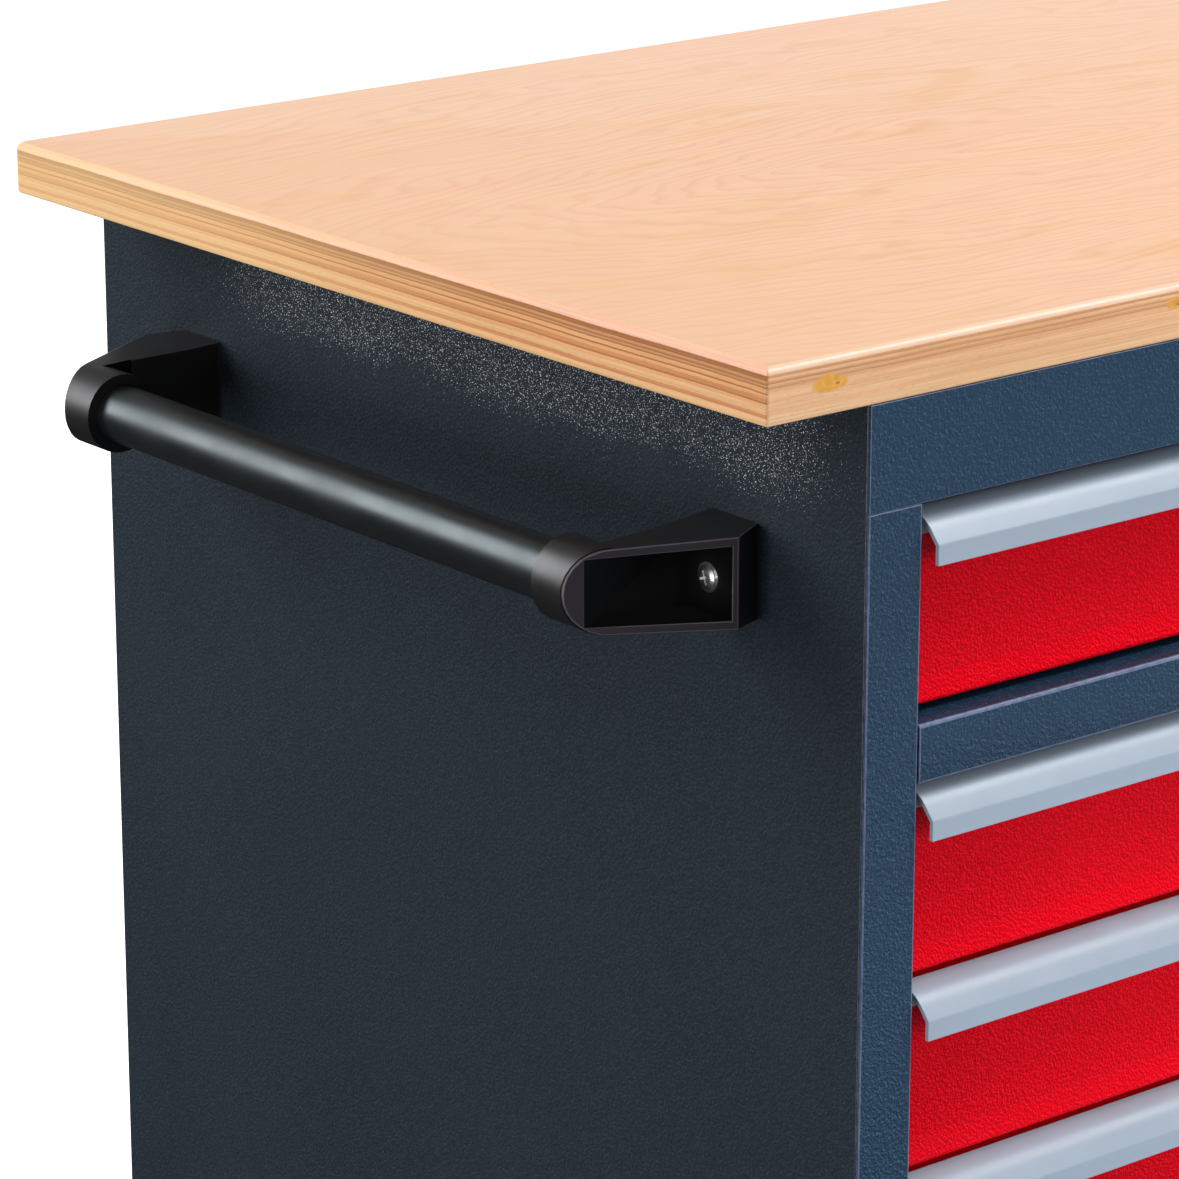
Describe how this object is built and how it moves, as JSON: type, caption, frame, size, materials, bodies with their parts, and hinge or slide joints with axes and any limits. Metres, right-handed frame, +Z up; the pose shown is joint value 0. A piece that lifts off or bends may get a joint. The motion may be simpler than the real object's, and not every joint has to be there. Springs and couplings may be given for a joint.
{
  "type": "workbench with drawers",
  "caption": "Mobile workbench: plywood top on a steel cabinet with telescopic drawers, a side push bar, and braked swivel castors.",
  "frame": {"origin": "on the floor, under the middle of the bench's overall box, push bar and drawer grips included", "axes": "+X along the front to the right, away from the push bar, +Y from the drawers to the back, +Z up"},
  "size_m": [1.165, 0.6647, 0.89],
  "materials": {
    "birch_plywood": "clear varnished birch face veneer, striped plywood edges",
    "charcoal_coat": "fine textured dark blue-grey powder coat",
    "blue_coat": "orange-peel textured slate blue powder coat",
    "red_coat": "fine leather textured red powder coat",
    "grip_grey": "satin light grey profile",
    "tray_grey": "smooth grey powder coat",
    "zinc_steel": "zinc plated steel",
    "bar_black": "satin black coated tube",
    "black_nylon": "moulded black nylon with a fine grain",
    "castor_rubber": "grey-black castor tread"
  },
  "bodies": {
    "root": {"worktop": "birch_plywood", "side_panel_left": "charcoal_coat", "side_panel_right": "charcoal_coat", "back_panel": "charcoal_coat", "base_tray": "charcoal_coat", "rear_top_rail": "charcoal_coat", "top_rail": "blue_coat", "cross_rail": "blue_coat", "bottom_rail": "blue_coat", "stile_left": "blue_coat", "stile_right": "blue_coat", "slide_rack_left": "zinc_steel", "slide_rack_right": "zinc_steel", "push_bar": "bar_black", "bar_bracket_front": "black_nylon", "bar_bracket_rear": "black_nylon", "castor_plate_left_front": "zinc_steel", "castor_bracket_right_front": "zinc_steel", "axle_right_front": "zinc_steel", "castor_plate_left_rear": "zinc_steel", "castor_bracket_right_rear": "zinc_steel", "axle_right_rear": "zinc_steel"},
    "drawer_1": {"drawer_1_front": "red_coat", "drawer_1_grip": "grip_grey", "drawer_1_tray": "tray_grey"},
    "slide_1": {"slide_middle_1_left": "zinc_steel", "slide_middle_1_right": "zinc_steel"},
    "drawer_2": {"drawer_2_front": "red_coat", "drawer_2_grip": "grip_grey", "drawer_2_tray": "tray_grey"},
    "slide_2": {"slide_middle_2_left": "zinc_steel", "slide_middle_2_right": "zinc_steel"},
    "drawer_3": {"drawer_3_front": "red_coat", "drawer_3_grip": "grip_grey", "drawer_3_tray": "tray_grey"},
    "slide_3": {"slide_middle_3_left": "zinc_steel", "slide_middle_3_right": "zinc_steel"},
    "drawer_4": {"drawer_4_front": "red_coat", "drawer_4_grip": "grip_grey", "drawer_4_tray": "tray_grey"},
    "slide_4": {"slide_middle_4_left": "zinc_steel", "slide_middle_4_right": "zinc_steel"},
    "drawer_5": {"drawer_5_front": "red_coat", "drawer_5_grip": "grip_grey", "drawer_5_tray": "tray_grey"},
    "slide_5": {"slide_middle_5_left": "zinc_steel", "slide_middle_5_right": "zinc_steel"},
    "swivel_left_front": {"castor_fork_left_front": "zinc_steel", "axle_left_front": "zinc_steel"},
    "wheel_left_front": {"wheel_left_front": "castor_rubber"},
    "pedal_left_front": {"brake_pedal_left_front": "black_nylon"},
    "wheel_right_front": {"wheel_right_front": "castor_rubber"},
    "swivel_left_rear": {"castor_fork_left_rear": "zinc_steel", "axle_left_rear": "zinc_steel"},
    "wheel_left_rear": {"wheel_left_rear": "castor_rubber"},
    "pedal_left_rear": {"brake_pedal_left_rear": "black_nylon"},
    "wheel_right_rear": {"wheel_right_rear": "castor_rubber"}
  },
  "joints": [
    {"name": "drawer_1_slide", "type": "slide", "parent": "root", "child": "drawer_1", "axis": [0, -1, 0], "range_m": [0, 0.56]},
    {"name": "drawer_2_slide", "type": "slide", "parent": "root", "child": "drawer_2", "axis": [0, -1, 0], "range_m": [0, 0.56]},
    {"name": "drawer_3_slide", "type": "slide", "parent": "root", "child": "drawer_3", "axis": [0, -1, 0], "range_m": [0, 0.56]},
    {"name": "drawer_4_slide", "type": "slide", "parent": "root", "child": "drawer_4", "axis": [0, -1, 0], "range_m": [0, 0.56]},
    {"name": "drawer_5_slide", "type": "slide", "parent": "root", "child": "drawer_5", "axis": [0, -1, 0], "range_m": [0, 0.56]},
    {"name": "slide_1_travel", "type": "slide", "parent": "root", "child": "slide_1", "axis": [0, -1, 0], "range_m": [0, 0.28]},
    {"name": "slide_2_travel", "type": "slide", "parent": "root", "child": "slide_2", "axis": [0, -1, 0], "range_m": [0, 0.28]},
    {"name": "slide_3_travel", "type": "slide", "parent": "root", "child": "slide_3", "axis": [0, -1, 0], "range_m": [0, 0.28]},
    {"name": "slide_4_travel", "type": "slide", "parent": "root", "child": "slide_4", "axis": [0, -1, 0], "range_m": [0, 0.28]},
    {"name": "slide_5_travel", "type": "slide", "parent": "root", "child": "slide_5", "axis": [0, -1, 0], "range_m": [0, 0.28]},
    {"name": "castor_left_front_swivel", "type": "hinge", "parent": "root", "child": "swivel_left_front", "pos_m": [-0.3975, -0.23585, 0.15], "axis": [0, 0, 1], "continuous": true},
    {"name": "wheel_left_front_spin", "type": "hinge", "parent": "swivel_left_front", "child": "wheel_left_front", "pos_m": [-0.4375, -0.23585, 0.0625], "axis": [0, 1, 0], "continuous": true},
    {"name": "pedal_left_front_press", "type": "hinge", "parent": "swivel_left_front", "child": "pedal_left_front", "pos_m": [-0.4615, -0.23585, 0.1315], "axis": [0, -1, 0], "range_deg": [0, 14]},
    {"name": "wheel_right_front_spin", "type": "hinge", "parent": "root", "child": "wheel_right_front", "pos_m": [0.4325, -0.23585, 0.0625], "axis": [0, 1, 0], "continuous": true},
    {"name": "castor_left_rear_swivel", "type": "hinge", "parent": "root", "child": "swivel_left_rear", "pos_m": [-0.3975, 0.24215, 0.15], "axis": [0, 0, 1], "continuous": true},
    {"name": "wheel_left_rear_spin", "type": "hinge", "parent": "swivel_left_rear", "child": "wheel_left_rear", "pos_m": [-0.4375, 0.24215, 0.0625], "axis": [0, 1, 0], "continuous": true},
    {"name": "pedal_left_rear_press", "type": "hinge", "parent": "swivel_left_rear", "child": "pedal_left_rear", "pos_m": [-0.4615, 0.24215, 0.1315], "axis": [0, -1, 0], "range_deg": [0, 14]},
    {"name": "wheel_right_rear_spin", "type": "hinge", "parent": "root", "child": "wheel_right_rear", "pos_m": [0.4325, 0.24215, 0.0625], "axis": [0, 1, 0], "continuous": true}
  ],
  "couplings": [
    {"joint": "slide_1_travel", "follows": "drawer_1_slide", "ratio": 0.5},
    {"joint": "slide_2_travel", "follows": "drawer_2_slide", "ratio": 0.5},
    {"joint": "slide_3_travel", "follows": "drawer_3_slide", "ratio": 0.5},
    {"joint": "slide_4_travel", "follows": "drawer_4_slide", "ratio": 0.5},
    {"joint": "slide_5_travel", "follows": "drawer_5_slide", "ratio": 0.5}
  ]
}
